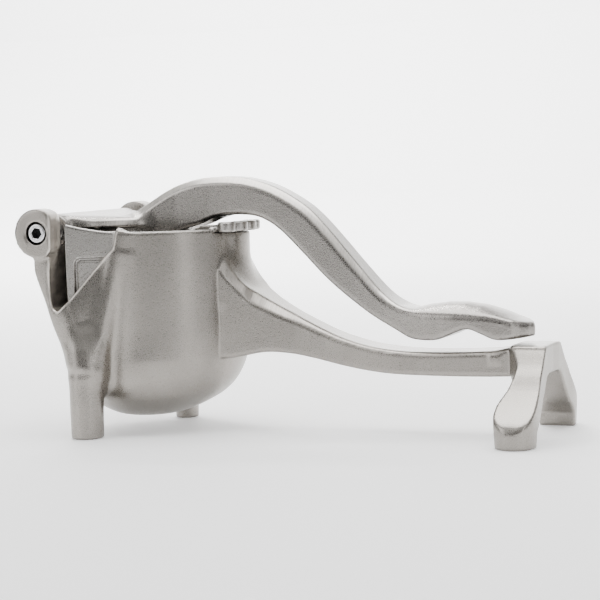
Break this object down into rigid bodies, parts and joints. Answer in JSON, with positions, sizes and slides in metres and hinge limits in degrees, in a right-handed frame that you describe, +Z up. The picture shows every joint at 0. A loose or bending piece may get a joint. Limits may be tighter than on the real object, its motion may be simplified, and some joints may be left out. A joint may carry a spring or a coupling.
{
  "type": "manual fruit juicer",
  "caption": "Cast hand-press fruit juicer: round pot with side spout, lift-out strainer, hinged press arm with arched handle, and lower handle ending in a splayed stand.",
  "frame": {"origin": "floor level under the centre of the bounding box", "axes": "+X from the hinge towards the stand at the handle end, +Z up, the spout opens towards -Y"},
  "size_m": [0.2244, 0.1, 0.1098],
  "materials": {
    "cast_body": "bead-blasted cast aluminium with polished edges",
    "cast_basket": "bead-blasted cast aluminium",
    "cast_arm": "bead-blasted cast aluminium with linished top edges",
    "steel": "bright zinc-plated steel",
    "black": "matt black"
  },
  "bodies": {
    "body": {"body_casting": "cast_body", "strainer_basket": "cast_basket", "pivot_sleeve": "steel", "pivot_screw_near": "steel", "pivot_screw_far": "steel", "head_washer_near": "black", "head_washer_far": "black", "hinge_spacer_near": "steel", "hinge_spacer_far": "steel"},
    "arm": {"press_arm": "cast_arm"}
  },
  "joints": [
    {"name": "arm_hinge", "type": "hinge", "parent": "body", "child": "arm", "pos_m": [-0.1018, 0, 0.0882], "axis": [0, -1, 0], "range_deg": [0, 110]}
  ]
}
